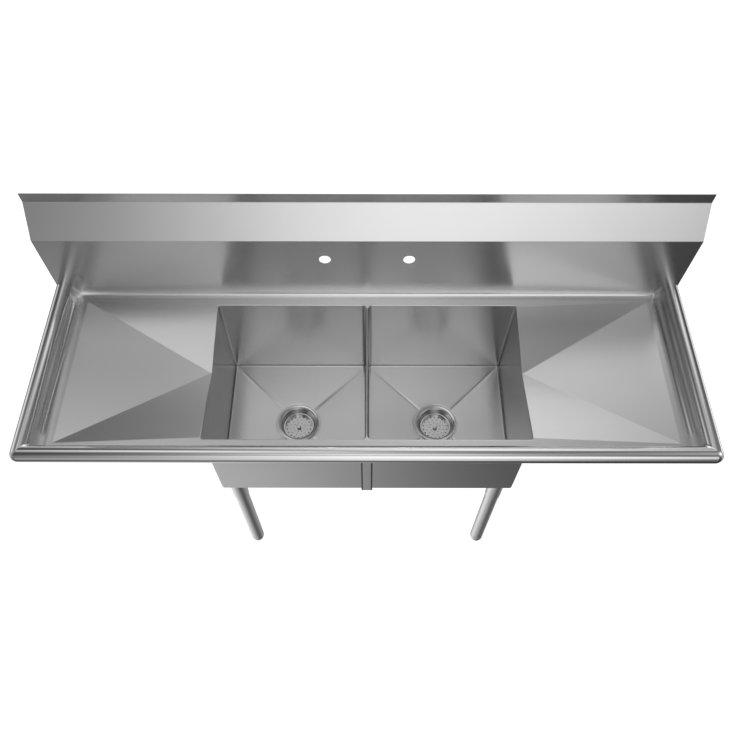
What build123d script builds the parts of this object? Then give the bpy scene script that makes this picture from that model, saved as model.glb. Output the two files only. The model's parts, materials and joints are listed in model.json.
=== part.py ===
from build123d import *
import os

# Two-compartment commercial kitchen sink with a drainboard on each side.
# Millimetres. The origin is on the floor under the middle of the sink,
# +X runs to the right, +Y back to the wall and +Z up.

os.makedirs("parts", exist_ok=True)

# Overall size
overall_width = 1569.0
overall_depth = 532.0
overall_height = 1100.0
sheet = 1.2

# Backsplash: a vertical face, a sloped return and a flange that meets the wall
wall_y = overall_depth / 2
return_depth = 47.6
splash_y = wall_y - sheet - return_depth
splash_bend_height = 996.0
return_top = 1074.0
splash_bend_radius = 2.0
splash_cove = 14.0
splash_end_bottom = 800.0
faucet_hole_height = 930.0
faucet_hole_spacing = 203.2
faucet_hole_radius = 14.3

# Deck and rolled rim
deck_height = 790.0
rim_top = 844.0
rim_radius = 19.0
rim_cove = 12.0
rim_curl = 230.0
rim_centre_z = rim_top - rim_radius
rim_front_y = -overall_depth / 2 + rim_radius
rim_side_x = overall_width / 2 - rim_radius
riser_front_y = rim_front_y + rim_radius
riser_side_x = rim_side_x - rim_radius
deck_front_y = riser_front_y + rim_cove
deck_side_x = riser_side_x - rim_cove
deck_back_y = splash_y - splash_cove

# Bowls
bowl_side_x = 379.0
bowl_back_y = 183.7
bowl_front_y = -192.9
bowl_centre_y = (bowl_back_y + bowl_front_y) / 2
bowl_floor_z = deck_height - 294.0
divider_half = 2.0
outer_corner_radius = 3.0
divider_corner_radius = 12.0
bowl_floor_radius = 5.0
floor_inset = 6.0
floor_drop = 5.9
cover_strip_width = 28.5
cover_strip_bottom = 487.0

# Drainboard facets fall to one low point at the middle of the bowl's edge
facet_side_x = 714.0
facet_back_y = 195.2
facet_front_y = -203.0
facet_drop = 22.6

# Drain, measured from the flat seat pressed into the bowl's floor
drain_x = 190.0
drain_y = -1.0
seat_z = 491.1
seat_radius = 59.5
drain_hole_radius = 46.0
gasket_thickness = 1.0
flange_radius = 57.15
flange_top = 494.0
throat_radius = 44.0
body_radius = 45.2
ledge_z = 475.5
cup_radius = 38.8
cup_bottom = 452.0
outlet_bottom = 420.0
outlet_bore_radius = 19.0
outlet_thread_radius = 23.9
rubber_washer_thickness = 3.0
friction_washer_thickness = 1.0
locknut_height = 9.0
locknut_radius = 55.0
locknut_lugs = 6
locknut_lug_depth = 7.0
locknut_lug_width = 9.0

# Basket and stopper that lift out of the drain
seat_gap = 0.3
running_gap = 0.08
basket_rim_radius = 41.8
basket_radius = 37.9
basket_wall = 1.0
basket_plate_top = 467.8
# Rows of round holes in the basket's plate: row radius, number of holes, hole radius
basket_hole_rows = [(32.3, 18, 2.0), (23.5, 12, 1.3), (14.5, 9, 1.3)]
post_radius = 3.5
knob_radius = 6.0
knob_top = 477.5
stopper_radius = 24.0
stopper_bottom = 448.2
stopper_top = 453.6

# Legs, sockets and adjustable feet
leg_x = 350.0
leg_front_y = -160.0
leg_back_y = 2 * bowl_centre_y - leg_front_y
leg_radius = 19.05
leg_wall = 1.5
leg_bottom = 42.0
leg_top = 480.0
socket_bore_radius = 19.35
socket_radius = 20.85
socket_bottom = 378.0
gusset_bottom = 486.5
gusset_half = 26.0
set_screw_radius = 4.0
set_screw_z = 400.0
set_screw_stand = 5.0
set_screw_hexagon = 2.3
set_screw_hexagon_depth = 3.5
stem_radius = 9.525
stem_bottom = 12.0
stem_top = 88.0
stem_chamfer = 1.5
insert_top = 72.0
foot_top = leg_bottom - 0.5
foot_collar_bottom = 20.0
foot_hex_top = 15.0
foot_hex_radius = 14.6
foot_base_radius = 12.6

leg_places = {
    "front_left": (-leg_x, leg_front_y),
    "front_right": (leg_x, leg_front_y),
    "rear_left": (-leg_x, leg_back_y),
    "rear_right": (leg_x, leg_back_y),
}


def save(piece, name):
    """Label a finished piece and write it to its own file."""
    piece.part.label = name
    export_step(piece.part, f"parts/{name}.step")


def save_mirrored(piece, name):
    """Write the right-hand copy of a left-hand piece."""
    with BuildPart() as copy:
        mirror(piece.part, about=Plane.YZ)
    save(copy, name)


def block(low, high, mode=Mode.ADD):
    """Block between two opposite corners."""
    size = [b - a for a, b in zip(low, high)]
    with Locations(tuple(low)):
        Box(*size, align=(Align.MIN, Align.MIN, Align.MIN), mode=mode)


def prism(points, bottom, top, mode=Mode.ADD):
    """Upright prism over a plan outline."""
    with BuildSketch(Plane.XY.offset(bottom)) as outline:
        with BuildLine():
            Polyline(*points, close=True)
        make_face()
    extrude(outline.sketch, amount=top - bottom, mode=mode)


def upright(x, y):
    """Vertical sketch plane at (x, y) whose own x and y run along +X and +Z."""
    return Plane(origin=(x, y, 0), x_dir=(1, 0, 0), z_dir=(0, -1, 0))


def turned(points, x, y, mode=Mode.ADD):
    """Outline of (radius, height) points turned about the upright axis at (x, y)."""
    with BuildSketch(upright(x, y)) as outline:
        with BuildLine():
            Polyline(*points, close=True)
        make_face()
    revolve(outline.sketch, axis=Axis((x, y, 0), (0, 0, 1)), mode=mode)


def ring(x, y, inner, outer, bottom, top):
    """Flat ring or tube about the upright axis at (x, y)."""
    turned([(inner, bottom), (outer, bottom), (outer, top), (inner, top)], x, y)


def sunk_pyramid(corners, apex, lower_by, mode):
    """Pyramid standing on its tip: plan corners at one height, tip below them."""
    height = corners[0][2] - lower_by
    with BuildSketch(Plane.XY.offset(height)) as rim:
        with BuildLine():
            Polyline(*[(x, y) for x, y, z in corners], close=True)
        make_face()
    tip = Vertex(apex[0], apex[1], apex[2] - lower_by)
    loft(sections=[rim.sketch, tip], ruled=True, mode=mode)


# Backsplash

def splash_section():
    """The bent sheet seen from the side, drawn along its visible face."""
    with BuildLine() as bends:
        FilletPolyline(
            (deck_back_y, deck_height),
            (splash_y, deck_height),
            (splash_y, splash_bend_height),
            (wall_y - sheet, return_top),
            (wall_y - sheet, overall_height),
            radius=[splash_cove - 0.01, splash_bend_radius, splash_bend_radius],
        )
        offset(amount=sheet, side=Side.RIGHT)
    make_face(bends.edges())


splash_plan = [
    (-overall_width / 2, splash_y),
    (-riser_side_x, splash_y),
    (-deck_side_x, deck_back_y),
    (deck_side_x, deck_back_y),
    (riser_side_x, splash_y),
    (overall_width / 2, splash_y),
    (overall_width / 2, wall_y),
    (-overall_width / 2, wall_y),
]
splash_end_width = overall_width / 2 - riser_side_x

with BuildPart() as backsplash:
    with BuildSketch(Plane.YZ):
        splash_section()
    extrude(amount=overall_width / 2, both=True)
    # The cove ends in a mitre against each side rim
    prism(splash_plan, deck_height - sheet, overall_height, mode=Mode.INTERSECT)
    # Behind the side rims the sheet stops level with the underside of the roll
    for end_x in (-overall_width / 2, riser_side_x):
        block(
            (end_x, deck_back_y, deck_height - sheet),
            (end_x + splash_end_width, wall_y, splash_end_bottom),
            mode=Mode.SUBTRACT,
        )
    with Locations(upright(0, splash_y)):
        with Locations((0, faucet_hole_height)):
            with GridLocations(faucet_hole_spacing, 1, 2, 1):
                Cylinder(faucet_hole_radius, 4 * sheet, mode=Mode.SUBTRACT)
save(backsplash, "backsplash")


# Rolled rim

def rim_section():
    """Cove, riser and half-round roll, drawn along the polished side. The section's
    own x is the distance from the roll's centre towards the deck."""
    with BuildLine() as bends:
        cove = JernArc(
            start=(rim_radius + rim_cove, deck_height),
            tangent=(-1, 0),
            radius=rim_cove,
            arc_size=-90,
        )
        riser = Line(cove @ 1, (rim_radius, rim_centre_z))
        JernArc(start=riser @ 1, tangent=(0, 1), radius=rim_radius, arc_size=rim_curl)
        offset(amount=sheet, side=Side.RIGHT)
    make_face(bends.edges())


def rim_plane_front():
    """Section plane of the front rim, facing +X."""
    return Plane(origin=(0, rim_front_y, 0), x_dir=(0, 1, 0), z_dir=(1, 0, 0))


rim_bottom = deck_height - 2 * sheet
front_rim_plan = [
    (-rim_side_x, -overall_depth / 2),
    (rim_side_x, -overall_depth / 2),
    (rim_side_x, rim_front_y),
    (deck_side_x, deck_front_y),
    (-deck_side_x, deck_front_y),
    (-rim_side_x, rim_front_y),
]
side_rim_plan = [
    (-overall_width / 2, rim_front_y),
    (-rim_side_x, rim_front_y),
    (-deck_side_x, deck_front_y),
    (-deck_side_x, deck_back_y),
    (-riser_side_x, splash_y),
    (-overall_width / 2, splash_y),
]

with BuildPart() as front_rim:
    with BuildSketch(rim_plane_front()):
        rim_section()
    extrude(amount=rim_side_x, both=True)
    prism(front_rim_plan, rim_bottom, rim_top, mode=Mode.INTERSECT)
save(front_rim, "front_rim")

with BuildPart() as left_rim:
    with BuildSketch(Plane(origin=(-rim_side_x, splash_y, 0), x_dir=(1, 0, 0), z_dir=(0, -1, 0))):
        rim_section()
    extrude(amount=splash_y - rim_front_y)
    prism(side_rim_plan, rim_bottom, rim_top, mode=Mode.INTERSECT)
save(left_rim, "left_rim")
save_mirrored(left_rim, "right_rim")

# The outer half of the roll turns each front corner as part of a ball
with BuildPart() as left_rim_corner:
    with BuildSketch(Plane(origin=(-rim_side_x, rim_front_y, 0), x_dir=(0, 1, 0), z_dir=(1, 0, 0))):
        rim_section()
        with Locations((rim_radius + rim_cove, rim_centre_z)):
            Rectangle(
                2 * (rim_radius + rim_cove),
                4 * rim_radius + 4 * rim_cove,
                mode=Mode.SUBTRACT,
            )
    revolve(axis=Axis((-rim_side_x, rim_front_y, 0), (0, 0, 1)), revolution_arc=-90)
save(left_rim_corner, "front_left_rim_corner")
save_mirrored(left_rim_corner, "front_right_rim_corner")


# Drainboards

facet_corners = [
    (-facet_side_x, facet_front_y, deck_height),
    (-bowl_side_x, bowl_front_y, deck_height),
    (-bowl_side_x, bowl_back_y, deck_height),
    (-facet_side_x, facet_back_y, deck_height),
]
facet_low_point = (-bowl_side_x, bowl_centre_y, deck_height - facet_drop)

with BuildPart() as left_drainboard:
    block(
        (-deck_side_x, deck_front_y, deck_height - sheet),
        (-bowl_side_x, deck_back_y, deck_height),
    )
    sunk_pyramid(facet_corners, facet_low_point, sheet, Mode.ADD)
    sunk_pyramid(facet_corners, facet_low_point, 0, Mode.SUBTRACT)
save(left_drainboard, "left_drainboard")
save_mirrored(left_drainboard, "right_drainboard")


# Bowls

def bowl_plan(grow):
    """Plan of the right-hand bowl's inside, grown outwards by a sheet or by nothing.
    Its corners are tight at the outer side and larger beside the divider."""
    width = bowl_side_x - divider_half + 2 * grow
    length = bowl_back_y - bowl_front_y + 2 * grow
    with Locations(((bowl_side_x + divider_half) / 2, bowl_centre_y)):
        Rectangle(width, length)
    outer = vertices().group_by(Axis.X)[-1]
    fillet(outer, outer_corner_radius + grow)
    inner = vertices().group_by(Axis.X)[0]
    fillet(inner, divider_corner_radius + grow)


floor_corners = [
    (divider_half + floor_inset, bowl_front_y + floor_inset, bowl_floor_z),
    (bowl_side_x - floor_inset, bowl_front_y + floor_inset, bowl_floor_z),
    (bowl_side_x - floor_inset, bowl_back_y - floor_inset, bowl_floor_z),
    (divider_half + floor_inset, bowl_back_y - floor_inset, bowl_floor_z),
]
floor_low_point = (drain_x, drain_y, bowl_floor_z - floor_drop)


def bowl_outside(mode=Mode.ADD):
    """Everything inside the outer skin of the right-hand bowl, up to the deck."""
    with BuildSketch(Plane.XY.offset(bowl_floor_z - sheet)) as plan:
        bowl_plan(sheet)
    extrude(plan.sketch, amount=deck_height - bowl_floor_z + sheet, mode=mode)
    sunk_pyramid(floor_corners, floor_low_point, sheet, mode)
    with Locations((drain_x, drain_y, seat_z - sheet)):
        Cylinder(
            seat_radius + sheet,
            2 * sheet,
            align=(Align.CENTER, Align.CENTER, Align.MIN),
            mode=mode,
        )


with BuildPart() as bowl_space:
    with BuildSketch(Plane.XY.offset(bowl_floor_z)):
        bowl_plan(0)
    extrude(amount=deck_height - bowl_floor_z + sheet)
    fillet(bowl_space.faces().sort_by(Axis.Z)[0].edges(), bowl_floor_radius)
    sunk_pyramid(floor_corners, floor_low_point, 0, Mode.ADD)
    with Locations((drain_x, drain_y, seat_z)):
        Cylinder(seat_radius, floor_drop, align=(Align.CENTER, Align.CENTER, Align.MIN))

board_facet_corners = [(-x, y, z) for x, y, z in facet_corners]
board_low_point = (bowl_side_x, bowl_centre_y, deck_height - facet_drop)

with BuildPart() as right_bowl:
    bowl_outside()
    # Ledges in front of and behind the opening
    block((0, deck_front_y, deck_height - sheet), (bowl_side_x, deck_back_y, deck_height))
    add(bowl_space.part, mode=Mode.SUBTRACT)
    # The outer wall stops under the drainboard's sheet
    block(
        (bowl_side_x, bowl_front_y - 10, deck_height - sheet),
        (bowl_side_x + 10, bowl_back_y + 10, deck_height),
        mode=Mode.SUBTRACT,
    )
    sunk_pyramid(board_facet_corners, board_low_point, sheet, Mode.SUBTRACT)
    # Both bowls stop below the ridge bead along the divider
    block(
        (-divider_half, bowl_front_y + divider_corner_radius, deck_height - divider_half),
        (divider_half, bowl_back_y - divider_corner_radius, deck_height),
        mode=Mode.SUBTRACT,
    )
    with Locations((drain_x, drain_y, seat_z)):
        Cylinder(drain_hole_radius, 6 * sheet, mode=Mode.SUBTRACT)
save(right_bowl, "right_bowl")
save_mirrored(right_bowl, "left_bowl")

with BuildPart() as divider_ridge:
    with BuildSketch(upright(0, bowl_back_y - divider_corner_radius)):
        with Locations((0, deck_height - divider_half)):
            Circle(divider_half)
            with Locations((0, -divider_half)):
                Rectangle(2 * divider_half, 2 * divider_half, mode=Mode.SUBTRACT)
    extrude(amount=bowl_back_y - bowl_front_y - 2 * divider_corner_radius)
save(divider_ridge, "divider_ridge")

cover_strips = {
    "front_cover_strip": bowl_front_y - 2 * sheet,
    "rear_cover_strip": bowl_back_y + sheet,
}
for name, strip_y in cover_strips.items():
    with BuildPart() as cover_strip:
        block(
            (-cover_strip_width / 2, strip_y, cover_strip_bottom),
            (cover_strip_width / 2, strip_y + sheet, deck_height - sheet),
        )
    save(cover_strip, name)


# Drains

def strainer_body(x):
    """Flanged body: throat, ledge for the basket, cup and threaded outlet."""
    flange_under = seat_z + gasket_thickness
    profile = [
        (flange_radius, flange_under),
        (flange_radius, flange_under + 0.7),
        (flange_radius - 1.6, flange_top),
        (throat_radius + 4.5, flange_top - 0.4),
        (throat_radius + 1, flange_top - 0.9),
        (throat_radius, flange_top - 2.5),
        (throat_radius - 1.5, ledge_z),
        (cup_radius + 0.4, ledge_z),
        (cup_radius, cup_bottom),
        (outlet_bore_radius + 1, cup_bottom - 6),
        (outlet_bore_radius, cup_bottom - 7),
        (outlet_bore_radius, outlet_bottom),
        (outlet_thread_radius, outlet_bottom),
        (outlet_thread_radius, cup_bottom - 8),
        (cup_radius + 1.8, cup_bottom - 2),
        (cup_radius + 1.8, ledge_z - 5),
        (body_radius, ledge_z - 2.5),
        (body_radius, flange_under),
    ]
    turned(profile, x, drain_y)


def locknut(x, bottom):
    """Thin round nut with lugs for a spanner."""
    ring(x, drain_y, body_radius + 0.1, locknut_radius - 3, bottom, bottom + locknut_height)
    with Locations((x, drain_y, bottom)):
        with PolarLocations(locknut_radius - locknut_lug_depth / 2, locknut_lugs):
            Box(
                locknut_lug_depth,
                locknut_lug_width,
                locknut_height - 2,
                align=(Align.CENTER, Align.CENTER, Align.MIN),
            )


def basket(x):
    """Shallow cup with a rim that rests on the ledge and rows of holes in its plate."""
    under_plate = basket_plate_top - basket_wall
    rim_under = ledge_z + seat_gap
    turned(
        [
            (0, under_plate),
            (basket_radius, under_plate),
            (basket_radius, rim_under),
            (basket_rim_radius, rim_under),
            (basket_rim_radius, rim_under + basket_wall),
            (basket_radius - basket_wall, rim_under + basket_wall),
            (basket_radius - basket_wall, basket_plate_top),
            (0, basket_plate_top),
        ],
        x,
        drain_y,
    )
    with Locations((x, drain_y, basket_plate_top)):
        Cylinder(post_radius + running_gap, 6 * basket_wall, mode=Mode.SUBTRACT)
        for row_radius, holes, hole_radius in basket_hole_rows:
            with PolarLocations(row_radius, holes):
                Cylinder(hole_radius, 6 * basket_wall, mode=Mode.SUBTRACT)


def knob(x):
    """Turned knob on a thin post that runs down through the plate to the stopper."""
    knob_bottom = basket_plate_top + 0.8
    turned(
        [
            (0, stopper_top),
            (post_radius, stopper_top),
            (post_radius, knob_bottom),
            (knob_radius - 1.2, knob_bottom),
            (knob_radius - 1.8, knob_bottom + 3),
            (knob_radius, knob_bottom + 6),
            (knob_radius, knob_top - 1.2),
            (knob_radius - 1.2, knob_top),
            (0, knob_top),
        ],
        x,
        drain_y,
    )


def stopper(x):
    """Rubber disc with a slanted sealing edge."""
    turned(
        [
            (0, stopper_bottom),
            (stopper_radius - 2.5, stopper_bottom),
            (stopper_radius, stopper_bottom + 2),
            (stopper_radius, stopper_top),
            (0, stopper_top),
        ],
        x,
        drain_y,
    )


rubber_top = seat_z - sheet
friction_top = rubber_top - rubber_washer_thickness
locknut_top = friction_top - friction_washer_thickness

for side, x in (("left", -drain_x), ("right", drain_x)):
    with BuildPart() as drain_body:
        strainer_body(x)
    save(drain_body, f"{side}_strainer_body")

    with BuildPart() as gasket:
        ring(x, drain_y, drain_hole_radius + 1, flange_radius - 1, seat_z, seat_z + gasket_thickness)
    save(gasket, f"{side}_flange_gasket")

    with BuildPart() as rubber_washer:
        ring(x, drain_y, body_radius + 0.3, flange_radius, friction_top, rubber_top)
    save(rubber_washer, f"{side}_rubber_washer")

    with BuildPart() as friction_washer:
        ring(x, drain_y, body_radius + 0.3, flange_radius - 1, locknut_top, friction_top)
    save(friction_washer, f"{side}_friction_washer")

    with BuildPart() as nut:
        locknut(x, locknut_top - locknut_height)
    save(nut, f"{side}_locknut")

    with BuildPart() as strainer_basket:
        basket(x)
    save(strainer_basket, f"{side}_basket")

    with BuildPart() as strainer_knob:
        knob(x)
    save(strainer_knob, f"{side}_knob_post")

    with BuildPart() as rubber_stopper:
        stopper(x)
    save(rubber_stopper, f"{side}_stopper")


# Legs and feet

with BuildPart() as bowl_blocks:
    bowl_outside()
    mirror(bowl_blocks.part, about=Plane.YZ)


def leg_socket(x, y):
    """Square gusset welded under the bowl's corner, with a round socket below it."""
    block(
        (x - gusset_half, y - gusset_half, gusset_bottom),
        (x + gusset_half, y + gusset_half, bowl_floor_z - sheet),
    )
    ring(x, y, 0, socket_radius, socket_bottom, gusset_bottom)
    add(bowl_blocks.part, mode=Mode.SUBTRACT)
    with Locations((x, y, socket_bottom)):
        Cylinder(
            socket_bore_radius,
            leg_top + 2 - socket_bottom,
            align=(Align.CENTER, Align.CENTER, Align.MIN),
            mode=Mode.SUBTRACT,
        )
    # Hole for the set screw, on the side that faces the middle of the sink
    inward = -1 if y > 0 else 1
    with Locations((x, y + inward * socket_radius, set_screw_z)):
        Cylinder(set_screw_radius, 6, rotation=(90, 0, 0), mode=Mode.SUBTRACT)


def leg_tube(x, y):
    """Plain round tube."""
    ring(x, y, leg_radius - leg_wall, leg_radius, leg_bottom, leg_top)


def leg_insert(x, y):
    """Plug pressed into the tube's lower end and bored for the foot's stem."""
    ring(x, y, stem_radius + running_gap, leg_radius - leg_wall, leg_bottom, insert_top)


def set_screw(x, y):
    """Short screw with a hexagon socket that presses on the tube."""
    inward = -1 if y > 0 else 1
    inner_end = y + inward * leg_radius
    outer_end = y + inward * (socket_radius + set_screw_stand)
    centre = (inner_end + outer_end) / 2
    with Locations((x, centre, set_screw_z)):
        Cylinder(set_screw_radius, abs(outer_end - inner_end), rotation=(90, 0, 0))
    hexagon_plane = Plane(origin=(x, outer_end, set_screw_z), z_dir=(0, -inward, 0))
    with BuildSketch(hexagon_plane) as hexagon:
        RegularPolygon(set_screw_hexagon, 6)
    extrude(hexagon.sketch, amount=set_screw_hexagon_depth, mode=Mode.SUBTRACT)


def foot_stem(x, y):
    """Threaded stem, kept as a plain shaft of the thread's outer size."""
    ring(x, y, 0, stem_radius, stem_bottom, stem_top)
    chamfer(edges().group_by(Axis.Z)[-1], stem_chamfer)


def foot(x, y):
    """Bullet foot: round collar, tapered body and a hexagon for a spanner at the floor."""
    turned(
        [
            (0, 0),
            (foot_base_radius, 0),
            (foot_hex_radius + 0.2, 2.5),
            (leg_radius - 0.4, foot_collar_bottom - 1),
            (leg_radius, foot_collar_bottom),
            (leg_radius, foot_top),
            (0, foot_top),
        ],
        x,
        y,
    )
    with BuildSketch(Plane.XY) as flats:
        with Locations((x, y)):
            Circle(leg_radius + 2)
            RegularPolygon(foot_hex_radius, 6, rotation=90, mode=Mode.SUBTRACT)
    extrude(flats.sketch, amount=foot_hex_top, mode=Mode.SUBTRACT)
    with Locations((x, y, stem_bottom)):
        Cylinder(
            stem_radius + running_gap,
            foot_top,
            align=(Align.CENTER, Align.CENTER, Align.MIN),
            mode=Mode.SUBTRACT,
        )


for place, (x, y) in leg_places.items():
    with BuildPart() as socket:
        leg_socket(x, y)
    save(socket, f"{place}_leg_socket")

    with BuildPart() as tube:
        leg_tube(x, y)
    save(tube, f"{place}_leg")

    with BuildPart() as insert:
        leg_insert(x, y)
    save(insert, f"{place}_leg_insert")

    with BuildPart() as stem:
        foot_stem(x, y)
    save(stem, f"{place}_foot_stem")

    with BuildPart() as bullet:
        foot(x, y)
    save(bullet, f"{place}_foot")

with BuildPart() as set_screws:
    for x, y in leg_places.values():
        set_screw(x, y)
save(set_screws, "leg_set_screws")
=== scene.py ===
import json
import math

import bmesh
import bpy
import numpy as np
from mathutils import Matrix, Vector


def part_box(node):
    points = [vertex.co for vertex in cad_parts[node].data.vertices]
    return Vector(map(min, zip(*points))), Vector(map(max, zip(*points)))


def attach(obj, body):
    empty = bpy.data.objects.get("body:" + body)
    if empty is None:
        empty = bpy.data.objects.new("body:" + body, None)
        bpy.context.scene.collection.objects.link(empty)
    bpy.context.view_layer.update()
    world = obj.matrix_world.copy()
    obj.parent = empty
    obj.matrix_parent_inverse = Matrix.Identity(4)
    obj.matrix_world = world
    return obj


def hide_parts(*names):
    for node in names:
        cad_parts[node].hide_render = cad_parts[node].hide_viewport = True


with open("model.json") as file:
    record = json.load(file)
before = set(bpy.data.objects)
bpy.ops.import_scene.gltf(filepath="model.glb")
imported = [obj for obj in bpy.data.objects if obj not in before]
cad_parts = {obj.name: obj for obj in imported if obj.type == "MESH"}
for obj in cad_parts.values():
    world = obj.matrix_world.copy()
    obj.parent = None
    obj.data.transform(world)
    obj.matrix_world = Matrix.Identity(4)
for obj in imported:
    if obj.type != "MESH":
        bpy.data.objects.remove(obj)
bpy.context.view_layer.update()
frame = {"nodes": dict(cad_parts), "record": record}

# Two-compartment commercial sink in stainless steel, on four round legs. Metres,
# +X to the right, +Y back to the wall, +Z up, the origin on the floor.


def node_box(node):
    """Lowest and highest corner of a node, rounded to a hundredth of a millimetre."""
    return [np.round(corner, 5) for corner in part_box(node)]


mm = 0.001
sheet = 1.2 * mm
board_low, board_high = node_box("right_drainboard")
rim_high = node_box("right_rim")[1]
splash_high = node_box("backsplash")[1]
flange_low, flange_high = node_box("right_strainer_body")

# Deck: the flat height, and where the rim's cove and the splash's cove meet it
deck_z = board_high[2]
deck_side_x = board_high[0]
deck_front_y = board_low[1]
deck_back_y = board_high[1]

# Rolled rim
roll_radius = 19 * mm
cove_radius = 12 * mm
roll_z = rim_high[2] - roll_radius
roll_side_x = rim_high[0] - roll_radius
roll_front_y = -splash_high[1] + roll_radius
roll_turn = 230.0

# Backsplash
splash_cove = 14 * mm
splash_y = deck_back_y + splash_cove
bend_z = 996 * mm
return_top_z = 1074 * mm
flange_y = splash_high[1] - sheet
splash_half = splash_high[0]
splash_end_z = 800 * mm
faucet_z = 930 * mm
faucet_x = 101.6 * mm
faucet_radius = 14.3 * mm

# Bowls, given for the right-hand one
bowl_side_x = board_low[0]
divider_half = 2 * mm
bowl_front_y = -192.9 * mm
bowl_back_y = 183.7 * mm
bowl_mid_y = (bowl_front_y + bowl_back_y) / 2
lip_radius = 2 * mm
outer_corner = 4 * mm
floor_z = 496 * mm
floor_fall = 5.9 * mm
floor_radius = 5 * mm
drain_x = (flange_low[0] + flange_high[0]) / 2
drain_y = (flange_low[1] + flange_high[1]) / 2
drain = np.array([drain_x, drain_y])
seat_z = 491.1 * mm
seat_radius = 59.5 * mm
drain_hole_radius = 47.5 * mm
wall_foot_corner = 5.5 * mm

# Middle of the ground weld in the rear corners, given for the right-hand one
rear_weld = (737 * mm, 207 * mm, 803 * mm)

# Drainboard facets
facet_side_x = 714 * mm
facet_front_y = -203 * mm
facet_back_y = 195.2 * mm
facet_fall = 22.6 * mm


# Working with surfaces. A surface is an array of points in rows and columns, and its
# outer side is the one from which rows go down the page when columns go to the left.

def surface(x, y, z):
    """Grid of points from three arrays that broadcast to rows and columns."""
    return np.stack(np.broadcast_arrays(x, y, z), axis=-1).astype(float)


def at_height(plan, height):
    """Points of a plan, an array of (x, y), all at one height or each at its own."""
    return surface(plan[..., 0], plan[..., 1], height)


def mirrored(surfaces):
    """The same surfaces on the other side of the middle plane, still facing outwards."""
    return [(s * (-1, 1, 1))[:, ::-1] for s in surfaces]


def rise(value, start, end):
    """Smooth step: 0 before start, 1 after end, 3t^2 - 2t^3 between them."""
    t = np.clip((value - start) / (end - start), 0, 1)
    return t * t * (3 - 2 * t)


def quarter_turn(count):
    """Angles from 0 to 90 degrees, in radians."""
    return np.radians(np.linspace(0, 90, count))


def rounded(corners, radius, steps=4):
    """Open outline through corners, each turned into a short parabola: with a and b
    the points one radius before and after a corner c, p(t) = (1-t)^2 a + 2t(1-t) c + t^2 b."""
    corners = np.asarray(corners, float)
    middle = corners[1:-1]
    before = corners[:-2] - middle
    after = corners[2:] - middle
    reach_before = np.linalg.norm(before, axis=1, keepdims=True)
    reach_after = np.linalg.norm(after, axis=1, keepdims=True)
    radius = np.reshape(np.broadcast_to(radius, len(middle)), (-1, 1))
    cut = np.minimum(radius, 0.45 * np.minimum(reach_before, reach_after))
    a = middle + before / reach_before * cut
    b = middle + after / reach_after * cut
    t = np.linspace(0, 1, steps + 1)[None, :, None]
    bends = (1 - t) ** 2 * a[:, None] + 2 * t * (1 - t) * middle[:, None] + t**2 * b[:, None]
    return np.concatenate([corners[:1], bends.reshape(-1, 2), corners[-1:]])


def turned(outline, x, y, steps=96):
    """Outline of (radius, height) turned about an upright axis:
    point = (x + radius cos a, y + radius sin a, height)."""
    outline = np.asarray(outline, float)
    angle = np.linspace(0, 2 * np.pi, steps + 1)
    radius = outline[:, :1]
    return surface(x + radius * np.cos(angle), y + radius * np.sin(angle), outline[:, 1:])


def towards_circle(loop, centre, radius, shares):
    """Rows between a closed loop and a circle inside it. Each point moves on a straight
    line towards the point of the circle in the same direction: p(s) = (1-s) loop + s circle."""
    arm = loop - centre
    circle = centre + radius * arm / np.linalg.norm(arm, axis=-1, keepdims=True)
    s = np.reshape(shares, (-1,) + (1,) * loop.ndim)
    return (1 - s) * loop + s * circle


def gridded(name, surfaces):
    """Mesh of surfaces, with one face between every four neighbouring points."""
    points = np.concatenate([s.reshape(-1, 3) for s in surfaces])
    faces = []
    start = 0
    for s in surfaces:
        index = start + np.arange(s.shape[0] * s.shape[1]).reshape(s.shape[:2])
        corners = [index[:-1, :-1], index[:-1, 1:], index[1:, 1:], index[1:, :-1]]
        faces.append(np.stack(corners, axis=-1).reshape(-1, 4))
        start += index.size
    mesh = bpy.data.meshes.new(name)
    mesh.from_pydata(points.tolist(), [], np.concatenate(faces).tolist())
    return mesh


def linked(name, data):
    """A new object of the scene."""
    shape = bpy.data.objects.new(name, data)
    bpy.context.scene.collection.objects.link(shape)
    return shape


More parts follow.
